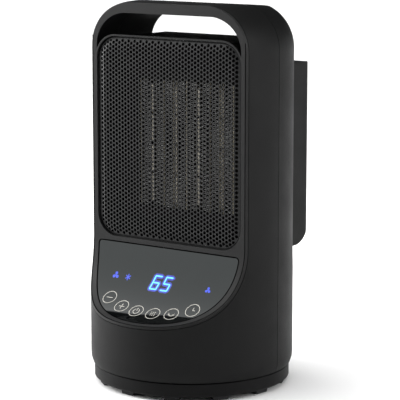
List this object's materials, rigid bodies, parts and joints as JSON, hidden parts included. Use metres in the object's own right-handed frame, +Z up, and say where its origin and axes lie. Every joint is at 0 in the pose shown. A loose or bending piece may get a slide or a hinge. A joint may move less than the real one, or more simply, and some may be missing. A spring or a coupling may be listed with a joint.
{
  "type": "ceramic space heater",
  "caption": "Oscillating tabletop ceramic heater: a round tower with a flat grilled front, a touch panel, a carrying handle, a rear intake housing and a turntable base.",
  "frame": {"origin": "on the floor under the middle of the object's footprint, on the turntable's axis", "axes": "+Z up along the turntable's axis, -Y out of the grille, +X to the right when looking along +Y at the grille"},
  "size_m": [0.18, 0.1835, 0.336],
  "materials": {
    "shell_plastic": "satin moulded plastic, fine grain",
    "frame_plastic": "satin moulded plastic, slightly lighter than the shells",
    "base_plastic": "satin moulded plastic",
    "inner_plastic": "heat-resistant black plastic",
    "grille_metal": "perforated steel sheet, black powder coat",
    "lens_gloss": "polished dark acrylic",
    "rubber_black": "moulded rubber",
    "screw_steel": "zinc-plated steel",
    "ballast_steel": "plain steel plate",
    "gear_white": "natural acetal",
    "switch_grey": "small switch case",
    "board_green": "glass-fibre board with solder resist",
    "display_black": "display block",
    "spring_steel": "plated spring wire",
    "heater_plastic": "high-temperature plastic",
    "tube_aluminium": "extruded aluminium, heat-tinted",
    "stone_ceramic": "fired ceramic",
    "fin_aluminium": "corrugated aluminium strip",
    "terminal_brass": "stamped brass",
    "fuse_ceramic": "glazed ceramic body",
    "motor_steel": "drawn steel",
    "bush_bronze": "sintered bronze",
    "impeller_plastic": "glass-filled plastic",
    "nut_red": "moulded lock nut",
    "filter_grey": "woven plastic screen"
  },
  "bodies": {
    "base": {"base_shell": "base_plastic", "base_cover": "base_plastic", "rubber_feet": "rubber_black", "base_screws": "screw_steel", "ballast_ring": "ballast_steel", "slide_ring": "gear_white", "sector_gear": "gear_white", "gear_screws": "screw_steel", "cord_gland": "rubber_black", "tip_switch": "switch_grey"},
    "head": {"head_floor": "base_plastic", "front_shell": "shell_plastic", "rear_shell": "shell_plastic", "shell_screws": "screw_steel", "front_frame": "frame_plastic", "outlet_grille": "grille_metal", "control_lens": "lens_gloss", "control_board": "board_green", "display_module": "display_black", "touch_springs": "spring_steel", "outlet_duct": "inner_plastic", "heater_frame": "heater_plastic", "ptc_tubes": "tube_aluminium", "ceramic_stones": "stone_ceramic", "heater_fins": "fin_aluminium", "heater_terminals": "terminal_brass", "thermal_cutout": "heater_plastic", "thermal_fuse": "fuse_ceramic", "fan_shroud": "inner_plastic", "motor_mount": "inner_plastic", "motor_can": "motor_steel", "motor_stator": "ballast_steel", "motor_bushes": "bush_bronze", "intake_housing": "shell_plastic", "intake_grille": "shell_plastic", "dust_filter": "filter_grey", "housing_screws": "screw_steel", "power_board": "board_green", "sweep_motor": "motor_steel", "sweep_motor_screws": "screw_steel"},
    "fan": {"impeller": "impeller_plastic", "impeller_nut": "nut_red", "motor_shaft": "spring_steel", "motor_rotor": "ballast_steel"},
    "pinion": {"drive_pinion": "gear_white", "pinion_shaft": "spring_steel"},
    "plunger": {"tip_plunger": "gear_white"}
  },
  "joints": [
    {"name": "head_turn", "type": "hinge", "parent": "base", "child": "head", "pos_m": [0, 0, 0.03], "axis": [0, 0, 1], "range_deg": [-35, 35]},
    {"name": "fan_spin", "type": "hinge", "parent": "head", "child": "fan", "pos_m": [0, 0.03, 0.21], "axis": [0, 1, 0], "continuous": true},
    {"name": "pinion_spin", "type": "hinge", "parent": "head", "child": "pinion", "pos_m": [0, 0.048, 0.04], "axis": [0, 0, 1], "range_deg": [-106, 106]},
    {"name": "plunger_slide", "type": "slide", "parent": "base", "child": "plunger", "axis": [0, 0, -1], "range_m": [0, 0.004], "stiffness_N_per_m": 60, "springref_m": 0.012}
  ],
  "couplings": [
    {"joint": "pinion_spin", "follows": "head_turn", "ratio": 3}
  ]
}
